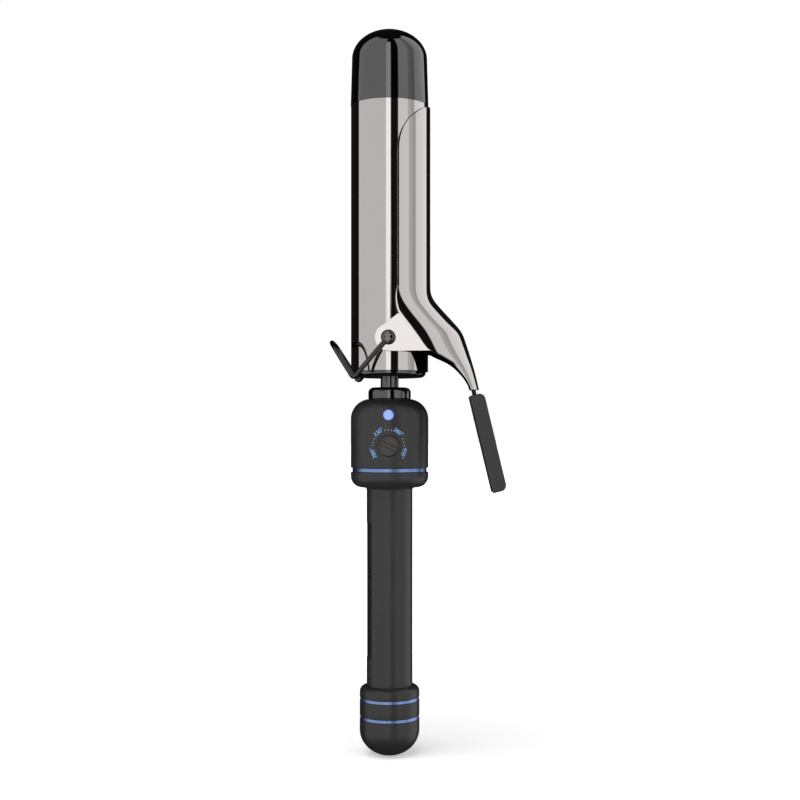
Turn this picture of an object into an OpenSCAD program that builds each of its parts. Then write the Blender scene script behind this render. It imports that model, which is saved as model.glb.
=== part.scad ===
// Curling iron with a sprung clamp, a wire stand, a heat dial and a swivelling cord inlet.
// It stands upright on +Z with the origin at the cord inlet, the clamp is on +X and the dial faces -Y.

/* [Barrel] */
// Outer diameter of the heated barrel
barrel_d = 38.5; // [32:0.5:45]
// Wall of the barrel tube
barrel_wall = 0.8; // [0.6:0.1:1.2]
// Visible length of the barrel tube
barrel_len = 132.5; // [110:0.5:165]
// Height of the cool tip from the barrel to its top
tip_len = 38; // [32:0.5:46]
// Height of the plate that closes the barrel's lower end
plate_h = 2.8; // [2.5:0.1:4]

/* [Head] */
// Outer diameter of the control head
head_d = 38.7; // [35:0.1:46]
// Wall of the head, grip and tip mouldings
shell_wall = 2; // [1.8:0.1:2.2]
// Depth of the cup under the trim ring
cup_h = 7.6; // [7:0.1:10]
// Height of the blue ring round the head
trim_h = 2.2; // [1.6:0.1:3]
// Height of the straight wall above the trim ring
wall_h = 24.2; // [24:0.1:32]
// Radius of the head's shoulder
shoulder_r = 10; // [8.5:0.5:10.5]
// Radius of the head's lower corner
cup_r = 5.5; // [4.5:0.1:6.5]

/* [Handle] */
// Outer diameter of the grip
grip_d = 22.9; // [21:0.1:25]
// Visible length of the grip
grip_len = 98.8; // [80:0.2:125]
// Outer diameter of the end sleeve
sleeve_d = 29.8; // [28:0.1:32]
// Height of the end sleeve from the origin
sleeve_h = 34.5; // [34:0.1:43]
// Height of the domed end
dome_h = 12.5; // [12:0.1:14.5]
// Height of each blue ring on the sleeve
ring_h = 1.7; // [1.2:0.1:2]
// Depth of the blank label panel's pocket
panel_depth = 0.55; // [0.4:0.05:0.8]

/* [Neck] */
// Outer diameter of the neck tube
neck_d = 9; // [8:0.5:10]
// Visible gap between the collar and the barrel
neck_gap = 5; // [4:0.5:8]
// Outer diameter of the collar
collar_d = 21.2; // [19:0.2:24]
// Height of the collar above the head
collar_h = 5.7; // [4.5:0.1:7]

/* [Clamp] */
// Thickness of the clamp's sheet metal
blade_t = 0.8; // [0.6:0.1:1]
// Gap between the shut clamp and the barrel
blade_gap = 0.3; // [0.3:0.05:0.6]
// Half of the angle that the blade wraps round the barrel
blade_half = 77; // [65:1:80]
// Length of the blade's rounded end
spoon_len = 24; // [18:0.5:30]
// Height of the pivot above the barrel's lower end
pivot_rise = 16; // [14:0.5:20]
// Radius of the round end of each ear
ear_r = 6.7; // [6:0.1:8]
// Length of the thumb grip
thumb_len = 49.6; // [40:0.2:52]
// Width of the thumb grip
thumb_w = 16; // [13:0.5:20]
// Thickness of the thumb grip
thumb_t = 7.6; // [7:0.2:10]

/* [Pivot and stand] */
// Diameter of the shoulder that the ears and the stand turn on
pivot_d = 5; // [4.5:0.1:6]
// Diameter of the stand's wire
wire_d = 2.4; // [2:0.1:3]
// Distance of the stand's foot from the pivot
foot_reach = 28; // [27.5:0.5:34]
// Radius of the stand's two bends at its foot
foot_bend = 13; // [3:0.5:16]

/* [Controls] */
// Diameter of the heat dial
dial_d = 10; // [9:0.1:11]
// Height of the dial above the trim ring
dial_rise = 10.9; // [10:0.1:13]
// Diameter of the pilot lamp's lens
lens_d = 5.5; // [4.5:0.1:6]
// Height of the lamp above the dial
lens_rise = 15.1; // [13.5:0.1:15.2]

/* [Cord inlet] */
// Bore of the swivelling cord inlet
inlet_d = 8; // [6:0.2:8.4]
// Length of the inlet's bore
inlet_len = 20; // [19.5:0.1:20.5]

/* [Fits] */
// Gap between fixed pieces that fit in each other
seat_gap = 0.1; // [0.05:0.01:0.15]
// Radial clearance of each piece that turns on a pin or in a bore
run_gap = 0.06; // [0.03:0.01:0.1]

/* [Hidden] */
$fn = 96;

// Heights of the stack, from the origin up
sleeve_wall = 2.6;
grip_r = grip_d / 2;
// The sleeve always has room for the grip's foot inside its wall
sleeve_r = max(sleeve_d / 2, grip_r + sleeve_wall + 0.5);
head_r = head_d / 2;
neck_r = neck_d / 2;
spigot_r = neck_r + 2;
head_z = sleeve_h + grip_len;
trim_z = head_z + cup_h;
wall_z = trim_z + trim_h;
// The shoulder leaves a flat for the collar's spigot, and what it gives up is added to the wall
shoulder = min(shoulder_r, head_r - spigot_r - seat_gap - 1);
shoulder_z = wall_z + wall_h + shoulder_r - shoulder;
head_top = shoulder_z + shoulder;
collar_top = head_top + collar_h;
plate_z = collar_top + neck_gap;
barrel_z = plate_z + plate_h;
tip_z = barrel_z + barrel_len;
pivot_z = barrel_z + pivot_rise;
dial_z = wall_z + dial_rise;
lens_z = dial_z + lens_rise;

// Handle insides
sleeve_in = sleeve_r - sleeve_wall;
ring_depth = 1.2;
ring_sink = 0.2;
ring_lower_z = 18;
ring_upper_z = 27.2;
floor_z = 6;
sleeve_seat = 4.7;
grip_foot = sleeve_h - 9.7;
head_in = head_r - shell_wall;
grip_in = grip_r - shell_wall;
panel_z = sleeve_h + 14;
panel_len = grip_len - 31.8;
panel_t = 0.3;
panel_half = 50;
grip_fillet = 1.5;
sleeve_corner = min(3, sleeve_r - grip_r - seat_gap - 0.1);
// The cup's corner stays clear of the fillet under it
cup = min(cup_r, head_r - grip_r - grip_fillet - 0.2);
trim_sink = 0.8;

// Cord inlet, whose foot carries the dome on to the bore
bush_r = 6.4;
dome_b = dome_h / sqrt(1 - pow(inlet_d / 2 / sleeve_r, 2));
bush_stem = inlet_d / 2 + 0.9;
bush_shoulder = 9;
clip_z = floor_z + 0.25;
clip_t = 1;
clip_r = 8.2;
clip_groove = 5.6;
carrier_z = inlet_len + 1;
carrier_t = 2;
slip_t = 0.7;
slip_h = 2;
slip_low = 11;
slip_high = 15;
finger_gap = 0.3;
lead_r = 1.1;
lead_x = 4.4;
lead_y = 1.9;

// Electronics
board_y = -4;
board_t = 1.6;
board_w = 25;
board_z = wall_z + 2.2;
board_top = lens_z + 2.3;
post_x = 9;
post_low = wall_z + 4.7;
post_high = shoulder_z - 2.5;
post_r = 2.4;
board_screw_r = 1.15;
pot_w = 12;
pot_bush_r = 4.2;
shaft_r = 3;
knob_face = head_r - 0.2;
knob_back = knob_face - 3.75;
knob_bar = 1;
pot_bush_y = 0.6 - knob_back;
pot_y = 2.8 - knob_back;
lens_back = head_in - 4.95;
board_gap = 0.3;
block_top = shoulder_z + 1;
block_h = 6;

// Neck and barrel insides
neck_wall = 1.1;
nut_r = neck_r + 3;
nut_h = 3;
collar_r = collar_d / 2;
collar_edge = 2.5;
barrel_r = barrel_d / 2;
barrel_in = barrel_r - barrel_wall;
plate_r = barrel_r - 1.2;
plate_edge = 2.4;
plate_skirt = 5;
core_z = pivot_z + 14;
core_top = tip_z - 12.5;
core_wall = 2.5;
core_split = 1.6;
slab_t = 2.4;
heater_w = 16;
heater_t = 2.4;
bracket_h = 10;
bracket_t = 1.3;
boss_r = 3.2;
boss_y = barrel_in - 6;
skirt_flare = 0.15;
skirt_h = 23.6;
tip_r = barrel_r + skirt_flare;
tip_top_r = barrel_r - 0.25;
tip_spigot = 7;

// Clamp: outer radius of the blade, and its shape by height above the pivot
blade_r = barrel_r + blade_gap + blade_t;
ear_y = barrel_r + blade_gap;
bend_top = 25.5;
lever_end = -25;
// Each pair is a height above the pivot and the outward slope of the back there
back_slopes = [[bend_top, 0], [17, 0.92], [6.5, 0.92], [1.5, 0.345], [-12, 0.3], [lever_end, 0.2]];
// Each pair is a height above the pivot and the outward slope of the side edges there
edge_slopes = [
  [bend_top, 0], [18, 0.35], [11.7, 0.75], [-3, 0.79], [-6.6, 1.3],
  [-9, 2.9], [-11.5, 1.2], [-15, 1], [-19, 0.8], [lever_end, 0.2]
];
// Each pair is a height above the pivot and half of the lever's width as a share of the blade's radius
lever_widths = [[-6, 1], [-9, 0.9], [-11.5, 0.78], [-15, 0.65], [-19, 0.53], [lever_end, 0.43]];
// Each pair is a height above the pivot and the half angle of the arch there
arch_angles = [[11.7, 90], [bend_top, blade_half]];
arch_steps = 20;
slope_step = 0.5;
ear_foot = -6.6;
weld_lap = 0.5;
point_drop = 0.9;

// Thumb grip
thumb_tilt = 13.5;
thumb_x = back_x(lever_end) - 1.45;
thumb_z = pivot_z - 27.3;
thumb_corner = min(3, thumb_t / 2 - 0.2);
tongue_t = 1.8;
tongue_w = 10;
tongue_x = -0.8;
tongue_top = 5;
tongue_len = 35;
thumb_screw_r = 1.3;
thumb_screw_head = 2.3;
thumb_screw_z = [-10, -26];

// Clamp spring, a bent leaf in the arch: points out from the barrel's axis and up from the pivot
spring_t = 0.6;
spring_w = 10;
spring_path = [
  [blade_r + 5.9, 11.6], [blade_r + 10.9, 5.9], [blade_r + 11.4, 2.4],
  [blade_r + 8, 0.2], [barrel_r + 0.9, -0.6]
];
rivet_at = (spring_path[0] + spring_path[1]) / 2;
rivet_tilt = 42.5;

// Pivot and stand
pivot_r = pivot_d / 2;
screw_r = 1.45;
head_screw_r = pivot_r + 0.35;
head_screw_h = 0.9;
wire_r = wire_d / 2;
side_gap = 0.5;
wire_y = blade_r + side_gap + wire_r;
eye_r = pivot_r + 1.1;
eye_half = 1.1;
foot = [-foot_reach, -2];
knee = [-16.8, -19.9];
foot_way = (foot - knee) / norm(foot - knee);
ball_r = wire_r * 1.04;

function arc(c, r, a0, a1, n = 8) = oval(c, r, r, a0, a1, n);
function oval(c, rx, rz, a0, a1, n = 16) =
  [for (i = [0:n]) let (a = a0 + (a1 - a0) * i / n) [c[0] + rx * cos(a), c[1] + rz * sin(a)]];

// Area under a list of slopes from the bend's top down to height h
function run_out(h, slopes) =
  let (n = max(1, round((bend_top - h) / slope_step)), d = (bend_top - h) / n)
  h >= bend_top ? 0 : let (s = [for (i = [0:n - 1]) lookup(bend_top - d * (i + 0.5), slopes)]) d * total(s);
function total(v, i = 0) = i == len(v) ? 0 : v[i] + total(v, i + 1);
function back_x(h) = blade_r + run_out(h, back_slopes);
function edge_x(h) = run_out(h, edge_slopes);
function half_w(h) = blade_r * lookup(h, lever_widths);
function arch_half(h) = lookup(h, arch_angles);

// One section of the blade at height h: its outer arch one way and its inner arch back
function section(h, half) =
  let (
    x = edge_x(h),
    slope = h >= bend_top ? 0 : lookup(h, back_slopes),
    out = back_x(h) - x,
    wide = half_w(h),
    thick = blade_t * sqrt(1 + slope * slope)
  )
  concat(
    [for (i = [0:arch_steps]) let (a = half * (2 * i / arch_steps - 1)) [x + out * cos(a), wide * sin(a), pivot_z + h]],
    [for (i = [arch_steps:-1:0]) let (a = half * (2 * i / arch_steps - 1))
      [x + (out - thick) * cos(a), (wide - blade_t) * sin(a), pivot_z + h]]
  );

module turn(points) {
  rotate_extrude() polygon(points);
}

module hoop(r_in, r_out, z, h) {
  translate([0, 0, z]) difference() {
    cylinder(r = r_out, h = h);
    translate([0, 0, -1]) cylinder(r = r_in, h = h + 2);
  }
}

// A cylinder along Y from y0 to y1 at x and z
module bar_y(r, y0, y1, x, z) {
  translate([x, y1, z]) rotate([90, 0, 0]) cylinder(r = r, h = y1 - y0);
}

module box(x0, x1, y0, y1, z0, z1) {
  translate([x0, y0, z0]) cube([x1 - x0, y1 - y0, z1 - z0]);
}

// The same piece on the front and on the rear
module both_sides() {
  children();
  mirror([0, 1, 0]) children();
}

module end_sleeve() {
  hole = bush_r + run_gap;
  in_h = dome_h - sleeve_wall;
  floor_a = asin((dome_h - floor_z) / in_h);
  color([0.2, 0.2, 0.21]) difference() {
    turn(concat(
      oval([0, dome_h], sleeve_r, dome_b, -acos(hole / sleeve_r), 0, 20),
      arc([sleeve_r - sleeve_corner, sleeve_h - sleeve_corner], sleeve_corner, 0, 90),
      [[grip_r + seat_gap, sleeve_h], [grip_r + seat_gap, sleeve_h - sleeve_seat]],
      [[sleeve_in, sleeve_h - sleeve_seat - 1]],
      oval([0, dome_h], sleeve_in, in_h, 0, -floor_a, 10),
      [[hole, floor_z]]
    ));
    for (z = [ring_lower_z, ring_upper_z]) hoop(sleeve_r - ring_depth, sleeve_r + 1, z, ring_h);
  }
}

module end_ring(z) {
  color([0.4, 0.5, 0.86])
    hoop(sleeve_r - ring_depth + seat_gap / 2, sleeve_r - ring_sink, z + seat_gap / 2, ring_h - seat_gap);
}

module end_ring_lower() {
  end_ring(ring_lower_z);
}

module end_ring_upper() {
  end_ring(ring_upper_z);
}

module contact_carrier() {
  color([0.85, 0.83, 0.76]) hoop(2.5, sleeve_in - seat_gap, carrier_z, carrier_t);
}

module contact_fingers() {
  near = bush_stem + seat_gap / 2 + slip_t + finger_gap;
  top = carrier_z - seat_gap;
  color([0.83, 0.68, 0.33]) {
    box(near, near + 1, -2, 2, slip_low - 0.5, top);
    box(-near - 1, -near, -2, 2, slip_high - 0.5, top);
  }
}

module mains_leads() {
  color([0.45, 0.2, 0.12]) for (x = [-lead_x, lead_x])
    translate([x, lead_y, carrier_z + carrier_t + seat_gap])
      cylinder(r = lead_r, h = block_top - block_h - carrier_z - carrier_t - 2 * seat_gap);
}

module grip() {
  corner = [head_r - cup, head_z + cup];
  color([0.2, 0.2, 0.21]) difference() {
    turn(concat(
      [[grip_in, grip_foot], [grip_r, grip_foot]],
      arc([grip_r + grip_fillet, head_z - grip_fillet], grip_fillet, 180, 90, 6),
      arc(corner, cup, -90, 0),
      [[head_r, trim_z], [head_in, trim_z]],
      arc(corner, max(cup - shell_wall, 0.2), 0, -90),
      [[grip_in, head_z + shell_wall]]
    ));
    panel_sector(grip_r - panel_depth, grip_r + 1, panel_z, panel_len, panel_half);
  }
}

// A ring sector about -X
module panel_sector(r_in, r_out, z, h, half) {
  translate([0, 0, z]) rotate([0, 0, 180 - half])
    rotate_extrude(angle = 2 * half) translate([r_in, 0]) square([r_out - r_in, h]);
}

module label_panel() {
  inner = grip_r - panel_depth + seat_gap / 2;
  color([0.16, 0.16, 0.17])
    panel_sector(inner, inner + panel_t, panel_z + seat_gap, panel_len - 2 * seat_gap, panel_half - 0.5);
}

module head_trim_ring() {
  skin = head_in - seat_gap;
  color([0.4, 0.5, 0.86]) turn([
    [skin - 1.6, trim_z - 1.5],
    [skin, trim_z - 1.5],
    [skin, trim_z + seat_gap / 2],
    [head_r - trim_sink, trim_z + seat_gap / 2],
    [head_r - trim_sink, wall_z - seat_gap / 2],
    [skin, wall_z - seat_gap / 2],
    [skin, wall_z + 1.8],
    [skin - 1.6, wall_z + 1.8]
  ]);
}

module control_housing() {
  crown = [head_r - shoulder, shoulder_z];
  hole_end = 4 - head_in;
  hole = spigot_r + seat_gap;
  color([0.2, 0.2, 0.21]) difference() {
    union() {
      turn(concat(
        [[head_r, wall_z]],
        arc(crown, shoulder, 0, 90, 12),
        [[hole, head_top], [hole, head_top - shell_wall]],
        arc(crown, shoulder - shell_wall, 90, 0, 12),
        [[head_in, wall_z]]
      ));
      for (x = [-post_x, post_x]) for (z = [post_low, post_high])
        bar_y(post_r, board_y + seat_gap, sqrt(head_r * head_r - post_x * post_x) - 1.2, x, z);
    }
    bar_y(dial_d / 2 + 0.2, -head_r - 1, hole_end, 0, dial_z);
    bar_y(lens_d / 2 + seat_gap / 2, -head_r - 1, hole_end, 0, lens_z);
    for (x = [-post_x, post_x]) for (z = [post_low, post_high])
      bar_y(board_screw_r + seat_gap / 2, board_y - 1, board_y + 8, x, z);
  }
}

// The room inside the head, less a gap all round
module head_room(gap) {
  turn(concat(
    [[0, wall_z], [head_in - gap, wall_z]],
    arc([head_r - shoulder, shoulder_z], shoulder - shell_wall - gap, 0, 90, 12),
    [[0, head_top - shell_wall - gap]]
  ));
}

module control_board() {
  color([0.1, 0.35, 0.18]) difference() {
    intersection() {
      box(-board_w / 2, board_w / 2, board_y - board_t, board_y, board_z, board_top);
      head_room(board_gap);
    }
    for (x = [-post_x, post_x]) for (z = [post_low, post_high])
      bar_y(board_screw_r + seat_gap, board_y - board_t - 1, board_y + 1, x, z);
  }
}

module board_screws() {
  face = board_y - board_t - seat_gap / 2;
  color([0.75, 0.75, 0.76]) for (x = [-post_x, post_x]) for (z = [post_low, post_high]) {
    bar_y(board_screw_r, face - 0.4, board_y + 6, x, z);
    bar_y(2, face - 1, face, x, z);
  }
}

module potentiometer() {
  back = board_y - board_t - seat_gap;
  color([0.25, 0.32, 0.45]) difference() {
    union() {
      box(-pot_w / 2, pot_w / 2, pot_y, back, dial_z - pot_w / 2, dial_z + pot_w / 2);
      bar_y(pot_bush_r, pot_bush_y, pot_y + 1, 0, dial_z);
    }
    bar_y(shaft_r + run_gap, pot_bush_y - 1, back - 1.5, 0, dial_z);
  }
}

module triac() {
  color([0.12, 0.12, 0.13])
    box(-5, 5, board_y + seat_gap, board_y + 4.6, board_z + 4, block_top - block_h - 0.4);
}

module capacitor() {
  color([0.75, 0.62, 0.2]) translate([0, 6, board_z + 1.5]) cylinder(r = 3.8, h = 13);
}

module terminal_block() {
  color([0.85, 0.83, 0.76]) box(-5.8, 5.8, -3, 5, block_top - block_h, block_top);
}

module led() {
  color([0.8, 0.85, 1]) bar_y(1.5, 0.2 - lens_back, board_y - board_t - seat_gap, 0, lens_z);
}

module led_lens() {
  r = lens_d / 2;
  color([0.6, 0.7, 1]) intersection() {
    bar_y(r, -head_r, -lens_back, 0, lens_z);
    translate([0, 0, lens_z]) sphere(r = head_r - 0.1);
  }
}

module collar() {
  seat = head_top + seat_gap / 2;
  color([0.22, 0.22, 0.23]) turn(concat(
    [[neck_r + seat_gap, head_top - shell_wall], [spigot_r, head_top - shell_wall]],
    [[spigot_r, seat], [collar_r, seat]],
    arc([collar_r - collar_edge, collar_top - collar_edge], collar_edge, 0, 90),
    [[neck_r + seat_gap, collar_top]]
  ));
}

module hex_nut(z) {
  color([0.75, 0.75, 0.76]) translate([0, 0, z]) difference() {
    cylinder(r = nut_r, h = nut_h, $fn = 6);
    translate([0, 0, -1]) cylinder(r = neck_r + seat_gap, h = nut_h + 2);
  }
}

module lock_nut() {
  hex_nut(head_top - shell_wall - seat_gap - nut_h);
}

module neck_nut() {
  hex_nut(barrel_z + seat_gap);
}

module neck_tube() {
  foot_z = head_top - shell_wall - nut_h - 0.5;
  color([0.22, 0.22, 0.23]) hoop(neck_r - neck_wall, neck_r, foot_z, barrel_z + nut_h + 1 - foot_z);
}

module base_plate() {
  skin = barrel_in - seat_gap;
  color([0.22, 0.22, 0.23]) turn(concat(
    [[neck_r + seat_gap, plate_z]],
    arc([plate_r - plate_edge, plate_z + plate_edge], plate_edge, -90, 0),
    [[plate_r, barrel_z - seat_gap], [barrel_in - 0.6, barrel_z - seat_gap], [skin, barrel_z]],
    [[skin, barrel_z + plate_skirt], [skin - 1.5, barrel_z + plate_skirt]],
    [[skin - 1.5, barrel_z], [neck_r + seat_gap, barrel_z]]
  ));
}

module base_insulator() {
  color([0.8, 0.74, 0.6])
    hoop(neck_r + 1, barrel_in - 0.3, barrel_z + plate_skirt + seat_gap, 0.8);
}

module barrel_tube() {
  color([0.72, 0.69, 0.69]) difference() {
    hoop(barrel_in, barrel_r, barrel_z, barrel_len);
    bar_y(screw_r + seat_gap, -barrel_r - 1, barrel_r + 1, 0, pivot_z);
  }
}

module pivot_bracket() {
  r_out = barrel_in - seat_gap;
  color([0.75, 0.75, 0.76]) difference() {
    union() {
      hoop(r_out - bracket_t, r_out, pivot_z - bracket_h / 2, bracket_h);
      both_sides() bar_y(boss_r, boss_y, r_out - bracket_t / 2, 0, pivot_z);
    }
    bar_y(screw_r + seat_gap / 2, -barrel_r, barrel_r, 0, pivot_z);
  }
}

module pivot_screws() {
  seat = barrel_r + 0.05;
  crown = wire_y + eye_half + 0.1;
  color([0.3, 0.3, 0.31]) both_sides() difference() {
    union() {
      bar_y(screw_r, boss_y + 0.2, seat + 1, 0, pivot_z);
      bar_y(pivot_r, seat, crown + 0.2, 0, pivot_z);
      bar_y(head_screw_r, crown, crown + head_screw_h, 0, pivot_z);
    }
    for (a = [45, 135]) translate([0, crown + head_screw_h, pivot_z]) rotate([0, a, 0])
      cube([3.4, 1.2, 0.7], center = true);
  }
}

module heater_core() {
  r_out = barrel_in - 0.2;
  color([0.8, 0.8, 0.82]) intersection() {
    union() {
      hoop(r_out - core_wall, r_out, core_z, core_top - core_z);
      box(-r_out + 1, r_out - 1, -core_split - slab_t, -core_split, core_z, core_top);
    }
    box(-r_out - 1, r_out + 1, -r_out - 1, -core_split, core_z - 1, core_top + 1);
  }
}

module heater_core_front() {
  heater_core();
}

module heater_core_rear() {
  mirror([0, 1, 0]) heater_core();
}

module ceramic_heater() {
  color([0.93, 0.92, 0.9])
    box(-heater_w / 2, heater_w / 2, -heater_t / 2, heater_t / 2, core_z + 3, core_top - 12);
}

module insulation_films() {
  skin = heater_t / 2 + seat_gap;
  color([0.75, 0.5, 0.2]) both_sides()
    box(-heater_w / 2 - 1, heater_w / 2 + 1, -skin - 0.2, -skin, core_z + 2, core_top - 11);
}

module thermistor() {
  color([0.15, 0.15, 0.16]) translate([12, 0, core_z + 18]) cylinder(r = 1.2, h = 6);
}

module thermal_fuse() {
  color([0.85, 0.85, 0.86]) translate([-12, 0, core_z + 10]) cylinder(r = 1.4, h = 12);
}

module heater_leads() {
  low = block_top + seat_gap;
  color([0.9, 0.9, 0.88]) for (x = [-1.7, 1.7]) translate([x, 0, low])
    cylinder(r = 0.8, h = core_z + 3 - seat_gap - low);
}

module tip_insulator() {
  color([0.8, 0.74, 0.6]) translate([0, 0, core_top + 1]) cylinder(r = barrel_in - 0.3, h = 2);
}

module tip_cap() {
  dome = tip_len - skirt_h;
  skin = barrel_in - seat_gap;
  seat = tip_z + seat_gap / 2;
  color([0.09, 0.09, 0.1]) turn(concat(
    [[skin - 2, tip_z - tip_spigot], [skin, tip_z - tip_spigot], [skin, seat], [tip_r, seat]],
    oval([0, tip_z + skirt_h], tip_top_r, dome, 0, 90, 24),
    oval([0, tip_z + skirt_h], tip_top_r - shell_wall, dome - shell_wall, 90, 0, 24),
    [[skin - 2, seat + 2]]
  ));
}

module clamp_blade() {
  full = tip_z - point_drop - pivot_z - spoon_len;
  spoon = [for (a = [88.5, 85, 80, 73, 65, 56, 46, 35, 23, 11]) [full + spoon_len * sin(a), blade_half * cos(a)]];
  bends = [for (h = [bend_top - 1.5:-1.5:lever_end]) [h, arch_half(h)]];
  stations = concat(spoon, [[full, blade_half], [bend_top, blade_half]], bends);
  ring = 2 * (arch_steps + 1);
  last = ring * (len(stations) - 1);
  points = [for (s = stations) each section(s[0], s[1])];
  // The two long sides and the two ends, each as quads
  sides = [for (k = [0:len(stations) - 2]) for (i = [0:ring - 1])
    let (a = k * ring + i, b = k * ring + (i + 1) % ring) [a, a + ring, b + ring, b]];
  first_end = [for (i = [0:arch_steps - 1]) [i, i + 1, ring - 2 - i, ring - 1 - i]];
  last_end = [for (i = [0:arch_steps - 1]) [last + i, last + ring - 1 - i, last + ring - 2 - i, last + i + 1]];
  color([0.72, 0.69, 0.69]) polyhedron(points, concat(sides, first_end, last_end), convexity = 8);
}

module clamp_ears() {
  edge = [for (h = [11.7:-1.5:ear_foot]) [edge_x(h) + weld_lap, h]];
  color([0.72, 0.69, 0.69]) both_sides()
    translate([0, -ear_y, pivot_z]) rotate([90, 0, 0]) linear_extrude(blade_t) difference() {
      union() {
        circle(r = ear_r);
        polygon(concat([[-1, ear_r - 0.3], [edge_x(11.7), 11.7]], edge, [[edge_x(ear_foot), ear_foot], [0, ear_foot]]));
      }
      circle(r = pivot_r + run_gap);
    }
}

// The thumb grip's own frame: down is -Z and out from the handle is +X
module thumb_frame() {
  translate([thumb_x, 0, thumb_z]) rotate([0, -thumb_tilt, 0]) children();
}

module lever_tongue() {
  color([0.3, 0.3, 0.31]) thumb_frame() difference() {
    translate([tongue_x - tongue_t / 2, -tongue_w / 2, -tongue_len])
      cube([tongue_t, tongue_w, tongue_len + tongue_top]);
    for (z = thumb_screw_z) thumb_screw_bore(thumb_screw_r + seat_gap, z, thumb_t);
  }
}

// A bore from the thumb grip's inner face, running outwards for a length
module thumb_screw_bore(r, z, length) {
  translate([-thumb_t / 2, 0, z]) rotate([0, 90, 0]) cylinder(r = r, h = length);
}

module thumb_grip() {
  half = thumb_t / 2;
  slot = tongue_t + 2 * seat_gap;
  color([0.24, 0.24, 0.25]) thumb_frame() difference() {
    rotate([90, 0, 0]) linear_extrude(thumb_w, center = true) polygon(concat(
      [[-half, 0], [-half, -thumb_len]],
      arc([half - thumb_corner, thumb_corner - thumb_len], thumb_corner, -90, 0),
      arc([half - thumb_corner, -thumb_corner], thumb_corner, 0, 90)
    ));
    translate([tongue_x - slot / 2, -tongue_w / 2 - seat_gap, -tongue_len - seat_gap])
      cube([slot, tongue_w + 2 * seat_gap, tongue_len + 1]);
    for (z = thumb_screw_z) {
      thumb_screw_bore(thumb_screw_r + seat_gap, z, thumb_t - 1.4);
      thumb_screw_bore(thumb_screw_head + seat_gap, z, 1.2);
    }
  }
}

module thumb_screws() {
  color([0.3, 0.3, 0.31]) thumb_frame() for (z = thumb_screw_z) {
    thumb_screw_bore(thumb_screw_head, z, 1.1);
    thumb_screw_bore(thumb_screw_r, z, thumb_t - 1.6);
  }
}

module clamp_spring() {
  color([0.75, 0.75, 0.76]) translate([0, 0, pivot_z]) difference() {
    rotate([90, 0, 0]) linear_extrude(spring_w, center = true)
      for (i = [0:len(spring_path) - 2]) hull() {
        translate(spring_path[i]) circle(r = spring_t / 2, $fn = 16);
        translate(spring_path[i + 1]) circle(r = spring_t / 2, $fn = 16);
      }
    rivet_frame(-2) cylinder(r = 1.6, h = 4);
  }
}

// On the leaf's fixed part, with +Z out through the leaf towards the lever
module rivet_frame(z) {
  translate([rivet_at[0], 0, rivet_at[1]]) rotate([0, 90 - rivet_tilt, 0]) translate([0, 0, z]) children();
}

module spring_rivet() {
  under = spring_t / 2 + 0.05;
  color([0.75, 0.75, 0.76]) translate([0, 0, pivot_z]) {
    rivet_frame(-under - 0.8) cylinder(r = 2.3, h = 0.8);
    rivet_frame(-under - 0.2) cylinder(r = 1.5, h = under + 0.2 + spring_t / 2);
  }
}

module wire(a, b) {
  d = b - a;
  translate([a[0], 0, a[1]]) rotate([0, 90 - atan2(d[1], d[0]), 0]) cylinder(r = wire_r, h = norm(d));
}

module ball(p, y) {
  translate([p[0], y, p[1]]) sphere(r = ball_r, $fn = 32);
}

// A quarter ring that carries a leg round into the foot's bar
module foot_corner() {
  translate([foot[0], 0, foot[1]]) rotate([0, atan2(foot_way[1], -foot_way[0]), 0]) rotate([0, 0, 90])
    translate([wire_y - foot_bend, -foot_bend, 0]) rotate_extrude(angle = 90, $fn = 48)
      translate([foot_bend, 0]) circle(r = wire_r);
}

module stand_wire() {
  way = knee / norm(knee);
  color([0.22, 0.22, 0.23]) translate([0, 0, pivot_z]) {
    bar_y(wire_r, foot_bend + 0.1 - wire_y, wire_y - foot_bend - 0.1, foot[0], foot[1]);
    both_sides() {
      difference() {
        union() {
          bar_y(eye_r, wire_y - eye_half, wire_y + eye_half, 0, 0);
          translate([0, wire_y, 0]) wire(way * (pivot_r + 0.6), knee);
        }
        bar_y(pivot_r + run_gap, wire_y - 3, wire_y + 3, 0, 0);
      }
      translate([0, wire_y, 0]) wire(knee, foot - foot_way * (foot_bend + 0.1));
      ball(knee, wire_y);
      ball(foot - foot_way * foot_bend, wire_y);
      ball(foot, wire_y - foot_bend);
      foot_corner();
    }
  }
}

module dial_knob() {
  r = dial_d / 2;
  bar = 1.6;
  color([0.24, 0.24, 0.25]) difference() {
    union() {
      bar_y(r, -knob_face, -knob_back - 2, 0, dial_z);
      bar_y(shaft_r + 1.2, -knob_back - 2.5, -knob_back, 0, dial_z);
      translate([0, -knob_face, dial_z]) rotate([0, 25, 0]) translate([0, 0.3 - knob_bar / 2, 0])
        cube([1.8 * r, knob_bar + 0.6, bar], center = true);
    }
    bar_y(shaft_r + seat_gap / 2, -knob_back - 2.2, -10, 0, dial_z);
  }
}

module dial_shaft() {
  color([0.75, 0.75, 0.76]) bar_y(shaft_r, -knob_back - 2, board_y - board_t - seat_gap - 1.8, 0, dial_z);
}

module swivel_bush() {
  bore = inlet_d / 2;
  groove = clip_groove - seat_gap / 2;
  color([0.16, 0.16, 0.17]) turn(concat(
    oval([0, dome_h], sleeve_r, dome_b, -acos(bore / sleeve_r), -acos(bush_r / sleeve_r), 5),
    [[bush_r, clip_z - seat_gap], [groove, clip_z - seat_gap]],
    [[groove, clip_z + clip_t + seat_gap], [bush_r, clip_z + clip_t + seat_gap]],
    [[bush_r, bush_shoulder], [bush_stem, bush_shoulder], [bush_stem, inlet_len], [bore, inlet_len]]
  ));
}

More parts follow.
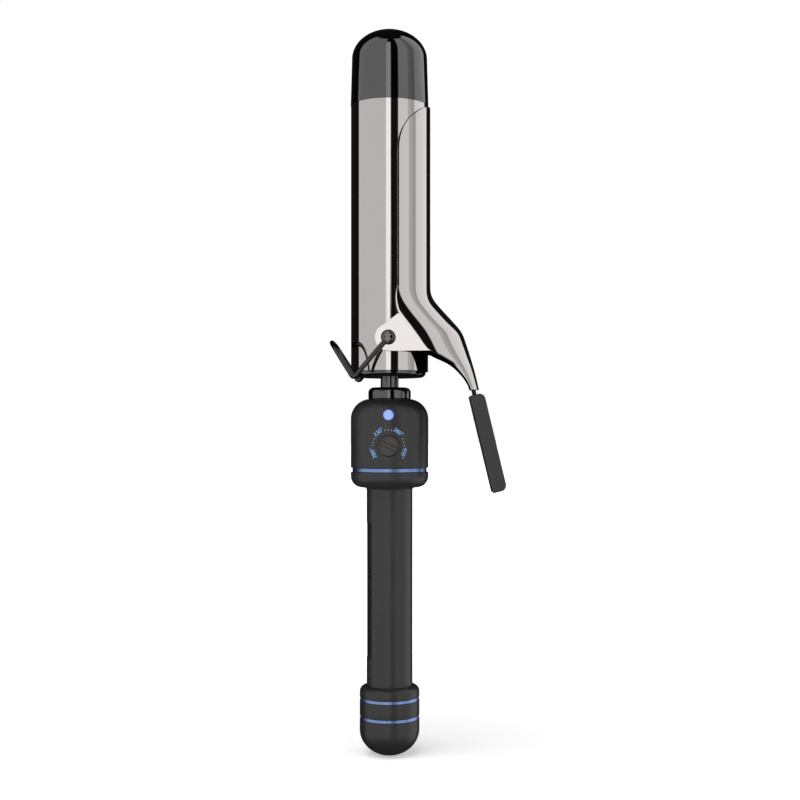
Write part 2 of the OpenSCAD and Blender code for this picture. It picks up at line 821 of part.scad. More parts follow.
module swivel_retainer() {
  color([0.75, 0.75, 0.76]) difference() {
    hoop(clip_groove, clip_r, clip_z, clip_t);
    box(0, clip_r + 1, -1, 1, clip_z - 1, clip_z + clip_t + 1);
  }
}

module slip_rings() {
  low = bush_stem + seat_gap / 2;
  color([0.83, 0.68, 0.33]) for (z = [slip_low, slip_high]) hoop(low, low + slip_t, z, slip_h);
}

end_sleeve();
end_ring_lower();
end_ring_upper();
contact_carrier();
contact_fingers();
mains_leads();
grip();
label_panel();
head_trim_ring();
control_housing();
control_board();
board_screws();
potentiometer();
triac();
capacitor();
terminal_block();
led();
led_lens();
collar();
lock_nut();
neck_tube();
neck_nut();
base_plate();
base_insulator();
barrel_tube();
pivot_bracket();
pivot_screws();
heater_core_front();
heater_core_rear();
ceramic_heater();
insulation_films();
thermistor();
thermal_fuse();
heater_leads();
tip_insulator();
tip_cap();
clamp_blade();
clamp_ears();
lever_tongue();
thumb_grip();
thumb_screws();
clamp_spring();
spring_rivet();
stand_wire();
dial_knob();
dial_shaft();
swivel_bush();
swivel_retainer();
slip_rings();
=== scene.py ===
import math
import bpy
from mathutils import Matrix, Vector


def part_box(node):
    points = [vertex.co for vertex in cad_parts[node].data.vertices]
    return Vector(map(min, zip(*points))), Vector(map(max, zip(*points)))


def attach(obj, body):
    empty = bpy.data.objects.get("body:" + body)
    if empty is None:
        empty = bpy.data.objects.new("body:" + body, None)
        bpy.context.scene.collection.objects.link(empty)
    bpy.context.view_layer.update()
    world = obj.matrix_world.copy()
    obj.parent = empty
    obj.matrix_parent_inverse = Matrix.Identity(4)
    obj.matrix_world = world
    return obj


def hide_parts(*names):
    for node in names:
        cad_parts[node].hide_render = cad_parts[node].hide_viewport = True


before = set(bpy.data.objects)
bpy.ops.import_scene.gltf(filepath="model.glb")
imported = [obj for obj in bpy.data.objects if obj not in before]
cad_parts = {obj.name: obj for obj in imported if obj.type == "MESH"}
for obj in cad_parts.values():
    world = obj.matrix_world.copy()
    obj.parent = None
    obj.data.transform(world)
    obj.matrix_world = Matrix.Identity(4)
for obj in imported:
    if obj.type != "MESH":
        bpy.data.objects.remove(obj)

for spare in ("Cube", "Light", "Camera"):        # what the startup file brings
    if spare in bpy.data.objects:
        bpy.data.objects.remove(bpy.data.objects[spare])
bpy.context.view_layer.update()
mm = 0.001


def low(node, axis):
    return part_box(node)[0][axis] / mm


def high(node, axis):
    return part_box(node)[1][axis] / mm


# Heights and radii in mm, all read from the frame
sleeveTop = high("end_sleeve", 2)
sleeveR = high("end_sleeve", 0)
cupTop = high("grip", 2)
headFoot, headTop, headR = low("control_housing", 2), high("control_housing", 2), high("control_housing", 0)
collarTop, collarR = high("collar", 2), high("collar", 0)
neckR = high("neck_tube", 0)
plateFoot, plateTop = low("base_plate", 2), high("base_plate", 2)
barrelFoot, tipSeam, barrelR = low("barrel_tube", 2), high("barrel_tube", 2), high("barrel_tube", 0)
tipTop, tipFoot, tipR = high("tip_cap", 2), low("tip_cap", 2), high("tip_cap", 0)
pivotZ = (low("pivot_screws", 2) + high("pivot_screws", 2)) / 2
dialZ = (low("dial_knob", 2) + high("dial_knob", 2)) / 2
lensZ = (low("led_lens", 2) + high("led_lens", 2)) / 2
print("frame: the heights and radii are read")

# Camera, light and floor
view = dict(place=(0.0200, -0.650, 0.1618), lens=58.5, shiftX=-0.0370, shiftY=0.0375)
bpy.ops.object.camera_add(location=view["place"], rotation=(math.pi / 2, 0, 0))
camera = bpy.context.object
camera.name = "viewCamera"
camera.data.sensor_width, camera.data.lens = 36, view["lens"]
camera.data.shift_x, camera.data.shift_y = view["shiftX"], view["shiftY"]
camera.data.clip_start = 0.01
bpy.context.scene.camera = camera
bpy.context.scene.view_settings.view_transform = "Standard"


class Wire:        # one socket; Python's operators on it add Math nodes
    def __init__(self, bench, socket):
        self.bench, self.socket = bench, socket

    def maths(self, operation, *others):
        return self.bench.add("ShaderNodeMath", {"operation": operation}, (self, *others))

    def flipped(self, operation, other):
        return self.bench.add("ShaderNodeMath", {"operation": operation}, (other, self))

    def __add__(self, other):
        return self.maths("ADD", other)

    def __sub__(self, other):
        return self.maths("SUBTRACT", other)

    def __mul__(self, other):
        return self.maths("MULTIPLY", other)

    def __truediv__(self, other):
        return self.maths("DIVIDE", other)

    def __pow__(self, other):
        return self.maths("POWER", other)

    def __rsub__(self, other):
        return self.flipped("SUBTRACT", other)

    __radd__, __rmul__ = __add__, __mul__

    def between(self, start, end):        # 0 at start, 1 at end, smooth in between
        settings = {"interpolation_type": "SMOOTHSTEP"}
        values = {"Value": self, "From Min": start, "From Max": end}
        return self.bench.add("ShaderNodeMapRange", settings, values)


class Bench:        # a node tree, with one method that adds any node to it
    def __init__(self, tree):
        self.tree = tree
        tree.nodes.clear()

    def add(self, kind, settings=None, values=None, out=0):
        node = self.tree.nodes.new(kind)
        for name, value in (settings or {}).items():
            if name != "stops":
                setattr(node, name, value)
                continue
            stops = node.color_ramp.elements
            for stop, (place, colour) in zip((stops[0], stops[1]), (value[0], value[-1])):
                stop.position, stop.color = place, (*colour, 1)
            for place, colour in value[1:-1]:
                stops.new(place).color = (*colour, 1)
        pairs = values.items() if isinstance(values, dict) else enumerate(values or ())
        for name, value in pairs:
            if isinstance(value, Wire):
                self.tree.links.new(value.socket, node.inputs[name])
            else:
                node.inputs[name].default_value = value
        return Wire(self, node.outputs[out]) if node.outputs else node

    def blend(self, amount, first, second):        # two colours
        settings = {"data_type": "RGBA"}
        return self.add("ShaderNodeMix", settings, {0: amount, 6: first, 7: second}, out=2)

    def where(self, stretch=(1, 1, 1)):        # the piece's own coordinates in metres
        place = self.add("ShaderNodeTexCoord", out="Object")
        return self.add("ShaderNodeMapping", {}, {"Vector": place, "Scale": stretch})

    def noise(self, size, detail=3.0, stretch=(1, 1, 1), rough=0.55):        # size of a patch in mm
        values = {"Vector": self.where(stretch), "Scale": 1000 / size, "Detail": detail, "Roughness": rough}
        return self.add("ShaderNodeTexNoise", {}, values)


def grey(level):
    return (level, level, level)


# The studio by direction: degrees round from the camera's side, plus towards +X, and how bright it is
studio = dict(
    bands=[(-180, 0.01), (-163, 0.01), (-103, 0.005), (-101, 0.58), (-94, 0.54), (-9.6, 0.54),
           (-8, 0.98), (4.6, 0.98), (5.6, 0.006), (26.4, 0.006), (28, 0.63), (56, 0.65), (58, 0.47),
           (79, 0.32), (81, 0.67), (128, 0.8), (130, 0.006), (180, 0.01)],
    sideFoot=(-42, -30), crown=68, slit=(-1.7, 7), slitLower=17,
    # the floor's painted light: its glow near the object, its glow far off, and the distances in metres
    # over which it rises
    floorGlow=0.45, floorFar=1.05, floorEdge=(0.05, 0.4),
    lampPlace=(-0.35, -0.5, 1.5), lampWide=1.4, lampPower=17)


def buildStudio():
    world = bpy.context.scene.world or bpy.data.worlds.new("studio")
    bpy.context.scene.world = world
    world.use_nodes = True
    bench = Bench(world.node_tree)
    way = bench.add("ShaderNodeTexCoord", out="Generated")
    x, y, z = (bench.add("ShaderNodeSeparateXYZ", {}, (way,), out=i) for i in range(3))
    round360 = x.maths("ARCTAN2", y * -1) / (2 * math.pi) + 0.5
    stops = [(angle / 360 + 0.5, grey(level)) for angle, level in studio["bands"]]
    ring = bench.add("ShaderNodeValToRGB", {"stops": stops}, {"Fac": round360})
    rise = z.maths("ARCSINE") * (180 / math.pi)
    low0, low1 = studio["sideFoot"]
    dim = 1 - rise.between(low0, low1)
    middle, half = studio["slit"]
    inSlit = 1 - (round360 - middle / 360 - 0.5).maths("ABSOLUTE").between(half / 360, half / 360 + 0.004)
    crown = studio["crown"] - inSlit * studio["slitLower"]
    dim = dim.maths("MAXIMUM", (rise - crown).between(0, 4))
    shown = bench.blend(dim, ring, (*grey(0.012), 1))
    seen = bench.add("ShaderNodeLightPath", out="Is Camera Ray")
    colour = bench.blend(seen, shown, (1, 1, 1, 1))
    sky = bench.add("ShaderNodeBackground", {}, {"Color": colour, "Strength": 1.0})
    bench.add("ShaderNodeOutputWorld", {}, {"Surface": sky})


buildStudio()
bpy.ops.mesh.primitive_plane_add(size=30, location=(0, 0, 0))
floor = bpy.context.object
floor.name = "floor"
floor.visible_glossy = False
bpy.ops.object.light_add(type="AREA", location=studio["lampPlace"])
lamp = bpy.context.object
lamp.name = "softLamp"
lamp.rotation_euler = (Vector((0, 0, 0.1)) - lamp.location).to_track_quat("-Z", "Y").to_euler()
lamp.data.size, lamp.data.energy = studio["lampWide"], studio["lampPower"]
lamp.visible_glossy = lamp.visible_camera = False
print("stage: camera, studio and floor")

# Finishes: one for each slot of the record, and a few more


def newFinish(name):
    material = bpy.data.materials.new(name)
    material.use_nodes = True
    return material, Bench(material.node_tree)


def closeFinish(bench, **values):        # the sockets by name, with an underscore for a space
    named = {name.replace("_", " "): value for name, value in values.items()}
    surface = bench.add("ShaderNodeBsdfPrincipled", {}, named)
    bench.add("ShaderNodeOutputMaterial", {}, {"Surface": surface})


def tint(bench, amount, colour, other):
    return bench.blend(amount, (*colour, 1), (*other, 1))


def bump(bench, height, depth, strength=1.0):        # depth in mm
    return bench.add("ShaderNodeBump", {}, {"Height": height, "Distance": depth * mm, "Strength": strength})


def metalFinish(name, colour, dull, grain, grainSize, grainDepth, smudge, dark):
    material, bench = newFinish(name)
    lines = bench.noise(grainSize, 2.0, grain)
    patches = bench.noise(28, 4.0)
    worn = bench.noise(5, 5.0, rough=0.7).between(0.52, 0.75)
    shade = tint(bench, patches.between(0.35, 0.7) * 0.7 + worn * 0.3, colour, [c * dark for c in colour])
    rough = dull + patches.between(0.4, 0.7) * smudge + worn * smudge * 0.5 + lines * (dull * 0.2)
    closeFinish(bench, Base_Color=shade, Metallic=1.0, Roughness=rough,
                Normal=bump(bench, lines, grainDepth))
    return material


def plasticFinish(name, colour, dull, grainSize, grainDepth, smudge=0.08, spec=0.5, light=1.25, dust=0.0):
    material, bench = newFinish(name)
    grain = bench.noise(grainSize, 3.0)
    patches = bench.noise(22, 4.0)
    marks = bench.noise(4, 6.0, (1, 1, 0.35), rough=0.7).between(0.56, 0.72)
    shade = tint(bench, patches.between(0.3, 0.75) * 0.8 + grain * 0.2, colour, [c * light for c in colour])
    if dust:
        shade = bench.blend(marks * dust, shade, (0.32, 0.31, 0.3, 1))
    rough = dull + (patches.between(0.35, 0.7) - 0.5) * smudge + marks * (smudge * 0.6)
    closeFinish(bench, Base_Color=shade, Roughness=rough, Specular_IOR_Level=spec,
                Normal=bump(bench, grain, grainDepth))
    return material


def anodisedBlue(name):
    material, bench = newFinish(name)
    turned = bench.noise(0.3, 2.0, (0.2, 0.2, 6))
    patches = bench.noise(9, 3.0)
    shade = tint(bench, patches.between(0.3, 0.7), (0.39, 0.54, 1.0), (0.35, 0.5, 0.95))
    closeFinish(bench, Base_Color=shade, Metallic=1.0, Roughness=0.3 + turned * 0.1,
                Normal=bump(bench, turned, 0.001))
    return material


def glossCap(name):
    material, bench = newFinish(name)
    patches = bench.noise(18, 4.0)
    swirls = bench.noise(0.8, 3.0, (1, 1, 5)).between(0.5, 0.8)
    shade = tint(bench, patches.between(0.3, 0.7), (0.10, 0.10, 0.10), (0.092, 0.092, 0.094))
    rough = 0.04 + patches * 0.02 + swirls * 0.012
    closeFinish(bench, Base_Color=shade, Metallic=1.0, Roughness=rough,
                Coat_Weight=1.0, Coat_Roughness=0.03, Coat_IOR=1.95)
    return material


def lampGlow(name):
    material, bench = newFinish(name)
    place = bench.add("ShaderNodeTexCoord", out="Object")
    middle = (0, -headR * mm, lensZ * mm)
    offset = bench.add("ShaderNodeVectorMath", {"operation": "SUBTRACT"}, (place, middle))
    away = bench.add("ShaderNodeVectorMath", {"operation": "LENGTH"}, (offset,), out="Value") * 1000
    facets = bench.add("ShaderNodeTexVoronoi", {}, {"Vector": bench.where(), "Scale": 2600.0})
    rim = away.between(2.25, 2.6)
    glow = tint(bench, rim * 0.92 + facets * 0.05, (0.31, 0.46, 1.0), (0.01, 0.03, 0.16))
    closeFinish(bench, Base_Color=(0.02, 0.03, 0.08, 1), Emission_Color=glow, Emission_Strength=0.95,
                Roughness=0.12 + facets * 0.05, Coat_Weight=0.6, Coat_Roughness=0.05,
                Normal=bump(bench, facets, 0.01))
    return material


def glazedFinish(name, colour, other, dull, size, depth):        # ceramic, film and the like
    material, bench = newFinish(name)
    cells = bench.add("ShaderNodeTexVoronoi", {}, {"Vector": bench.where(), "Scale": 1000 / size})
    patches = bench.noise(size * 6, 4.0)
    shade = tint(bench, patches.between(0.3, 0.7) * 0.7 + cells * 0.3, colour, other)
    closeFinish(bench, Base_Color=shade, Roughness=dull + patches * 0.1, Normal=bump(bench, cells, depth))
    return material


def micaSheet(name):
    material, bench = newFinish(name)
    cells = {"Vector": bench.where((1, 1, 0.4)), "Scale": 900.0}
    flakes = bench.add("ShaderNodeTexVoronoi", {}, cells, out="Color")
    layers = bench.noise(1.2, 5.0, (1, 1, 6))
    shade = tint(bench, layers, (0.62, 0.5, 0.3), (0.82, 0.74, 0.56))
    shade = bench.blend(0.12, shade, flakes)
    closeFinish(bench, Base_Color=shade, Roughness=0.28 + layers * 0.2,
                Coat_Weight=0.4, Coat_Roughness=0.15, Normal=bump(bench, layers, 0.03))
    return material


def circuitBoard(name):
    material, bench = newFinish(name)
    squares = {"Vector": bench.where((1, 0.01, 1)), "Scale": 420.0}
    tracks = bench.add("ShaderNodeTexVoronoi", {"distance": "CHEBYCHEV", "feature": "F2"}, squares)
    lines = tracks.between(0.62, 0.7)
    weave = bench.noise(0.25, 2.0, (4, 1, 1)) * 0.5 + bench.noise(0.25, 2.0, (1, 1, 4)) * 0.5
    base = tint(bench, weave, (0.008, 0.075, 0.03), (0.02, 0.13, 0.05))
    shade = bench.blend(lines, base, (0.05, 0.26, 0.09, 1))
    closeFinish(bench, Base_Color=shade, Roughness=0.32 + weave * 0.15, Normal=bump(bench, lines, 0.035))
    return material


def leadSleeve(name, colour, other):        # a braided sleeve on a lead
    material, bench = newFinish(name)
    slanted = {"bands_direction": "DIAGONAL"}
    over = bench.add("ShaderNodeTexWave", slanted, {"Vector": bench.where(), "Scale": 500.0})
    mirrored = bench.where((-1, -1, 1))
    under = bench.add("ShaderNodeTexWave", slanted, {"Vector": mirrored, "Scale": 500.0})
    braid = over.maths("MAXIMUM", under)
    closeFinish(bench, Base_Color=tint(bench, braid, colour, other), Roughness=0.75 - braid * 0.2,
                Normal=bump(bench, braid, 0.06))
    return material


finishes = {
    "soft_black": plasticFinish("softBlack", (0.014, 0.014, 0.0144), 0.39, 0.3, 0.006, 0.06,
                                spec=0.8, dust=0.01),
    "label_black": plasticFinish("labelBlack", (0.010, 0.010, 0.011), 0.22, 0.2, 0.002, 0.05, spec=0.8),
    "ring_blue": anodisedBlue("ringBlue"),
    "barrel_metal": metalFinish("barrelMetal", (0.864, 0.813, 0.812), 0.035, (1, 1, 14), 0.5, 0.00002,
                                0.012, 0.98),
    "black_chrome": metalFinish("blackChrome", (0.19, 0.19, 0.192), 0.09, (1, 1, 1), 0.35, 0.0001,
                                0.03, 0.9),
    "tip_gloss": glossCap("tipGloss"),
    "thumb_plastic": plasticFinish("thumbPlastic", (0.015, 0.015, 0.0155), 0.36, 0.35, 0.006, 0.06,
                                   spec=0.8, dust=0.01),
    "dial_plastic": plasticFinish("dialPlastic", (0.034, 0.030, 0.028), 0.3, 0.3, 0.004, 0.05, spec=0.6),
    "lamp_lens": lampGlow("lampLens"),
    "lamp": glazedFinish("lampBody", (0.7, 0.76, 0.9), (0.5, 0.6, 0.85), 0.12, 1.5, 0.004),
    "steel": metalFinish("zincSteel", (0.62, 0.62, 0.60), 0.24, (1, 1, 3), 0.3, 0.0015, 0.1, 0.8),
    "spring_steel": metalFinish("springSteel", (0.42, 0.42, 0.43), 0.2, (8, 1, 1), 0.25, 0.001, 0.08, 0.75),
    "core_aluminium": metalFinish("coreAluminium", (0.78, 0.79, 0.80), 0.32, (1, 1, 9), 0.25, 0.002,
                                  0.1, 0.85),
    "heater_ceramic": glazedFinish("heaterCeramic", (0.86, 0.85, 0.82), (0.74, 0.73, 0.7), 0.5, 0.6, 0.01),
    "mica": micaSheet("micaDisc"),
    "film": glazedFinish("amberFilm", (0.55, 0.25, 0.05), (0.68, 0.36, 0.1), 0.18, 2.2, 0.01),
    "board_green": circuitBoard("boardGreen"),
    "pot_blue": plasticFinish("potBlue", (0.05, 0.13, 0.34), 0.35, 0.5, 0.01),
    "component_black": plasticFinish("componentBlack", (0.022, 0.022, 0.024), 0.5, 0.25, 0.02),
    "capacitor_film": glazedFinish("capacitorYellow", (0.72, 0.48, 0.05), (0.62, 0.4, 0.04),
                                   0.25, 1.4, 0.01),
    "carrier_plastic": plasticFinish("carrierPlastic", (0.68, 0.64, 0.55), 0.45, 0.5, 0.01, light=0.88),
    "wire_brown": leadSleeve("leadBrown", (0.16, 0.05, 0.02), (0.3, 0.1, 0.045)),
    "wire_white": leadSleeve("leadWhite", (0.6, 0.59, 0.55), (0.86, 0.85, 0.82)),
    "brass": metalFinish("contactBrass", (0.83, 0.62, 0.26), 0.2, (1, 6, 1), 0.3, 0.001, 0.08, 0.82),
    # near-black metal for the blade's cut edges: painted shade along its edge line
    "rim_dark": metalFinish("rimPaintedShade", (0.016, 0.015, 0.015), 0.35, (1, 1, 1), 0.4, 0.0002, 0.06, 0.8),
    "wire_dark": metalFinish("wireDark", (0.115, 0.115, 0.117), 0.1, (1, 1, 1), 0.35, 0.0001, 0.03, 0.9),
    "tongue_dark": metalFinish("tongueDark", (0.045, 0.045, 0.046), 0.3, (1, 1, 3), 0.4, 0.0004, 0.08, 0.8),
    "print_blue": plasticFinish("printBlue", (0.22, 0.45, 0.86), 0.5, 0.2, 0.004, 0.1, light=0.85),
    "print_pale": plasticFinish("printPale", (0.5, 0.56, 0.6), 0.5, 0.2, 0.004, 0.1, light=0.85),
    "bush_black": plasticFinish("bushBlack", (0.014, 0.014, 0.0146), 0.42, 0.3, 0.008, 0.06, spec=0.8),
}
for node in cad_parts.values():
    for spot in node.material_slots:
        spot.material = finishes[spot.material.name]


def paintFloor():
    material, bench = newFinish("paleFloor")
    clouds = bench.noise(400, 3.0)
    paint = tint(bench, clouds, (0.8, 0.8, 0.8), (0.79, 0.79, 0.79))
    matt = bench.add("ShaderNodeBsdfDiffuse", {}, {"Color": paint})
    place = bench.add("ShaderNodeTexCoord", out="Object")
    away = bench.add("ShaderNodeVectorMath", {"operation": "LENGTH"}, (place,), out="Value")
    near, far = studio["floorEdge"]
    # The floor's glow is painted light: it is weaker near the object, painted shade round the foot, and
    # rises to full white further out.
    level = away.between(near, far) * (studio["floorFar"] - studio["floorGlow"]) + studio["floorGlow"]
    glow = bench.add("ShaderNodeEmission", {}, {"Color": (1, 1, 1, 1), "Strength": level})
    both = bench.add("ShaderNodeAddShader", {}, (matt, glow))
    bench.add("ShaderNodeOutputMaterial", {}, {"Surface": both})
    floor.data.materials.append(material)


paintFloor()
print("stage: finishes")

# Ways of making


def clearSelection():
    if bpy.context.object and bpy.context.object.mode != "OBJECT":
        bpy.ops.object.mode_set(mode="OBJECT")
    bpy.ops.object.select_all(action="DESELECT")


def drawLine(name, points, y=0.0):        # points are (x, z) in mm, joined in the X-Z plane
    clearSelection()
    start = (points[0][0] * mm, y * mm, points[0][1] * mm)
    bpy.ops.mesh.primitive_plane_add(size=mm, location=start)
    piece = bpy.context.object
    piece.name = piece.data.name = name
    bpy.ops.object.mode_set(mode="EDIT")
    bpy.ops.mesh.merge(type="CENTER")
    for here, there in zip(points, points[1:]):
        step = ((there[0] - here[0]) * mm, 0, (there[1] - here[1]) * mm)
        bpy.ops.mesh.extrude_vertices_move(TRANSFORM_OT_translate={"value": step})
    bpy.ops.mesh.select_all(action="SELECT")
    return piece


def settle(piece, smooth=32):        # place into the mesh, then smooth shading up to an angle
    clearSelection()
    piece.select_set(True)
    bpy.context.view_layer.objects.active = piece
    bpy.ops.object.transform_apply(location=True, rotation=True, scale=True)
    bpy.ops.object.shade_smooth_by_angle(angle=math.radians(smooth))
    return piece


def turnProfile(name, points, steps=112, smooth=32):        # (radius, height) points, spun about Z
    piece = drawLine(name, [*points, points[0]])
    bpy.ops.mesh.spin(steps=steps, angle=2 * math.pi, center=(0, 0, 0), axis=(0, 0, 1))
    bpy.ops.mesh.select_all(action="SELECT")
    bpy.ops.mesh.remove_doubles(threshold=0.002 * mm)
    bpy.ops.mesh.normals_make_consistent(inside=False)
    bpy.ops.object.mode_set(mode="OBJECT")
    return settle(piece, smooth)


def pressOut(name, outline, y0, y1, smooth=32):        # an outline in X-Z, given width along Y
    piece = drawLine(name, [*outline, outline[0]], y0)
    bpy.ops.mesh.remove_doubles(threshold=0.002 * mm)
    bpy.ops.mesh.edge_face_add()
    bpy.ops.mesh.extrude_region_move(TRANSFORM_OT_translate={"value": (0, (y1 - y0) * mm, 0)})
    bpy.ops.mesh.select_all(action="SELECT")
    bpy.ops.mesh.normals_make_consistent(inside=False)
    bpy.ops.object.mode_set(mode="OBJECT")
    return settle(piece, smooth)


def arc(centre, radius, start, end, count=8, flat=None):        # degrees from +X; flat is the other radius
    tall = radius if flat is None else flat
    turns = [math.radians(start + (end - start) * i / count) for i in range(count + 1)]
    return [(centre[0] + radius * math.cos(t), centre[1] + tall * math.sin(t)) for t in turns]


def useModifier(piece, kind, **settings):
    clearSelection()
    piece.select_set(True)
    bpy.context.view_layer.objects.active = piece
    step = piece.modifiers.new(kind.lower(), kind)
    for name, value in settings.items():
        setattr(step, name, value)
    bpy.ops.object.modifier_apply(modifier=step.name)
    return piece


def softenEdges(piece, width, segments=2, angle=38, material=-1):
    useModifier(piece, "BEVEL", width=width * mm, segments=segments, limit_method="ANGLE",
                angle_limit=math.radians(angle), harden_normals=False, material=material)
    return settle(piece, 32)


def cutAway(piece, *cutters):
    for cutter in cutters:
        useModifier(piece, "BOOLEAN", operation="DIFFERENCE", object=cutter, solver="EXACT")
        bpy.data.objects.remove(cutter)
    return settle(piece)


def rod(radius, y0, y1, x, z, count=64):        # a round cutter along Y
    clearSelection()
    middle = (x * mm, (y0 + y1) / 2 * mm, z * mm)
    bpy.ops.mesh.primitive_cylinder_add(vertices=count, radius=radius * mm, depth=abs(y1 - y0) * mm,
                                        location=middle, rotation=(math.pi / 2, 0, 0))
    return settle(bpy.context.object)


def block(x0, x1, y0, y1, z0, z1):        # a square cutter
    clearSelection()
    middle = ((x0 + x1) / 2 * mm, (y0 + y1) / 2 * mm, (z0 + z1) / 2 * mm)
    bpy.ops.mesh.primitive_cube_add(size=1, location=middle)
    cutter = bpy.context.object
    cutter.scale = ((x1 - x0) * mm, (y1 - y0) * mm, (z1 - z0) * mm)
    return settle(cutter)


def putAt(piece, place=(0, 0, 0), turn=(0, 0, 0)):        # mm and degrees
    piece.location = Vector(place) * mm
    piece.rotation_euler = [math.radians(angle) for angle in turn]
    return settle(piece)


def joined(name, pieces):
    clearSelection()
    for piece in pieces:
        piece.select_set(True)
    bpy.context.view_layer.objects.active = pieces[0]
    bpy.ops.object.join()
    pieces[0].name = pieces[0].data.name = name
    return settle(pieces[0])


def fit(piece, body, slot, *nodes):        # its finish, its body and the CAD nodes it stands for
    if not piece.data.materials:
        piece.data.materials.append(finishes[slot])
    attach(piece, body)
    if nodes:
        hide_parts(*nodes)
    print("piece:", piece.name, len(piece.data.polygons), "faces")
    return piece


# The handle's end sleeve, rings and grip
sleeve = dict(dome=12.5, bore=4, wall=2.6, corner=3, floor=6, seat=4.7, hole=6.46,
              ringDeep=1.2, groove=1.7, lip=0.18)
bush = dict(radius=6.4, groove=5.55, clip=6.25, shoulder=9)
grip = dict(radius=0.2 - low("label_panel", 0), wall=2, foot=sleeveTop - 9.7, fillet=1.5, cup=5.5,
            cupDeep=7.6, pocket=0.55, pocketHalf=50)
ringFeet = [low("end_ring_lower", 2) - 0.05, low("end_ring_upper", 2) - 0.05]


def buildSleeve():
    radius, inner = sleeveR, sleeveR - sleeve["wall"]
    gripR = grip["radius"] + 0.1
    dome, lip = sleeve["dome"], sleeve["lip"]
    domeB = dome / math.sqrt(1 - (sleeve["bore"] / radius) ** 2)
    corner = (radius - sleeve["corner"], sleeveTop - sleeve["corner"])
    floorAngle = math.degrees(math.asin((dome - sleeve["floor"]) / (dome - sleeve["wall"])))
    mouth = math.degrees(math.acos(sleeve["hole"] / radius))
    outside = arc((0, dome), radius, -mouth, 0, 30, flat=domeB)
    for foot in ringFeet:        # each groove with softened lips
        top, deep = foot + sleeve["groove"], radius - sleeve["ringDeep"]
        outside += [(radius, foot - lip), (radius - lip * 0.3, foot - lip * 0.3), (radius - lip, foot)]
        outside += [(deep, foot), (deep, top)]
        outside += [(radius - lip, top), (radius - lip * 0.3, top + lip * 0.3), (radius, top + lip)]
    outside += arc(corner, sleeve["corner"], 0, 84, 10)
    seat = sleeveTop - sleeve["seat"]
    outside += [(gripR + 0.25, sleeveTop - 0.02), (gripR, sleeveTop - 0.25), (gripR, seat)]
    inside = [(inner, seat - 1)]
    inside += arc((0, dome), inner, 0, -floorAngle, 14, flat=dome - sleeve["wall"])
    return turnProfile("endSleeve", outside + inside + [(sleeve["hole"], sleeve["floor"])])


def buildRing(name, foot, sink=0.2):
    outer, inner = sleeveR - sink, sleeveR - sleeve["ringDeep"] + 0.05
    low0, high0 = foot + 0.05, foot + sleeve["groove"] - 0.05
    rim = [(inner, low0), *arc((outer - 0.2, low0 + 0.2), 0.2, -90, 0, 4)]
    rim += [*arc((outer - 0.2, high0 - 0.2), 0.2, 0, 90, 4), (inner, high0)]
    return turnProfile(name, rim)


def buildGrip():
    radius, inner = grip["radius"], grip["radius"] - grip["wall"]
    cupFoot = cupTop - grip["cupDeep"]
    corner = (headR - grip["cup"], cupFoot + grip["cup"])
    pocketFoot, pocketTop = low("label_panel", 2) - 0.1, high("label_panel", 2) + 0.1
    outside = [(inner, grip["foot"]), (radius, grip["foot"]), (radius, pocketFoot), (radius, pocketTop)]
    outside += arc((radius + grip["fillet"], cupFoot - grip["fillet"]), grip["fillet"], 180, 90, 8)
    outside += arc(corner, grip["cup"], -90, 0, 16)
    outside += [(headR, cupTop - 0.2), (headR - 0.06, cupTop - 0.06), (headR - 0.2, cupTop)]
    inside = [(headR - grip["wall"], cupTop)]
    inside += arc(corner, grip["cup"] - grip["wall"], 0, -90, 8)
    inside += [(inner, cupFoot + grip["wall"])]
    piece = turnProfile("grip", outside + inside, steps=144)
    clearSelection()
    piece.select_set(True)
    bpy.context.view_layer.objects.active = piece
    half = math.radians(grip["pocketHalf"])
    for face in piece.data.polygons:        # the label's pocket is let in on the -X side
        middle, aim = face.center / mm, face.normal
        round0 = abs(math.atan2(middle.y, -middle.x))
        inPocket = pocketFoot < middle.z < pocketTop and aim.x * middle.x + aim.y * middle.y > 0
        face.select = inPocket and round0 < half and middle.xy.length > radius - 0.5
    for edge in piece.data.edges:
        edge.select = False
    for vertex in piece.data.vertices:
        vertex.select = False
    bpy.ops.object.mode_set(mode="EDIT")
    bpy.ops.mesh.select_mode(type="FACE")
    bpy.ops.mesh.extrude_region_shrink_fatten(TRANSFORM_OT_shrink_fatten={"value": -grip["pocket"] * mm})
    bpy.ops.mesh.select_mode(type="VERT")
    bpy.ops.object.mode_set(mode="OBJECT")
    return settle(piece)


def buildBush():        # the dome's line runs on over its foot to the bore
    radius, bore = bush["radius"], sleeve["bore"]
    domeB = sleeve["dome"] / math.sqrt(1 - (bore / sleeveR) ** 2)
    starts, ends = (-math.degrees(math.acos(r / sleeveR)) for r in (bore, radius - 0.15))
    stem, groove, clip = bore + 0.9, bush["groove"], bush["clip"]
    rim = arc((0, sleeve["dome"]), sleeveR, starts, ends, 12, flat=domeB)
    rim += [(radius, rim[-1][1] + 0.2), (radius, clip - 0.1), (groove, clip - 0.1), (groove, clip + 1.1)]
    top = high("swivel_bush", 2)
    rim += [(radius, clip + 1.1), (radius, bush["shoulder"]), (stem, bush["shoulder"]), (stem, top)]
    return turnProfile("swivelBush", [(bore, 0.25), *rim[1:], (bore, top)], steps=72)


fit(buildSleeve(), "handle_and_barrel", "soft_black", "end_sleeve")
fit(buildBush(), "swivel", "bush_black", "swivel_bush")
split = block(-0.75, -0.5, -20, -12, ringFeet[0] - 1, ringFeet[0] + 3)        # a fine slit across its front
lowerRing = cutAway(buildRing("endRingLower", ringFeet[0]), split)
fit(lowerRing, "handle_and_barrel", "ring_blue", "end_ring_lower")
fit(buildRing("endRingUpper", ringFeet[1]), "handle_and_barrel", "ring_blue", "end_ring_upper")
fit(buildGrip(), "handle_and_barrel", "soft_black", "grip")
print("stage: handle")

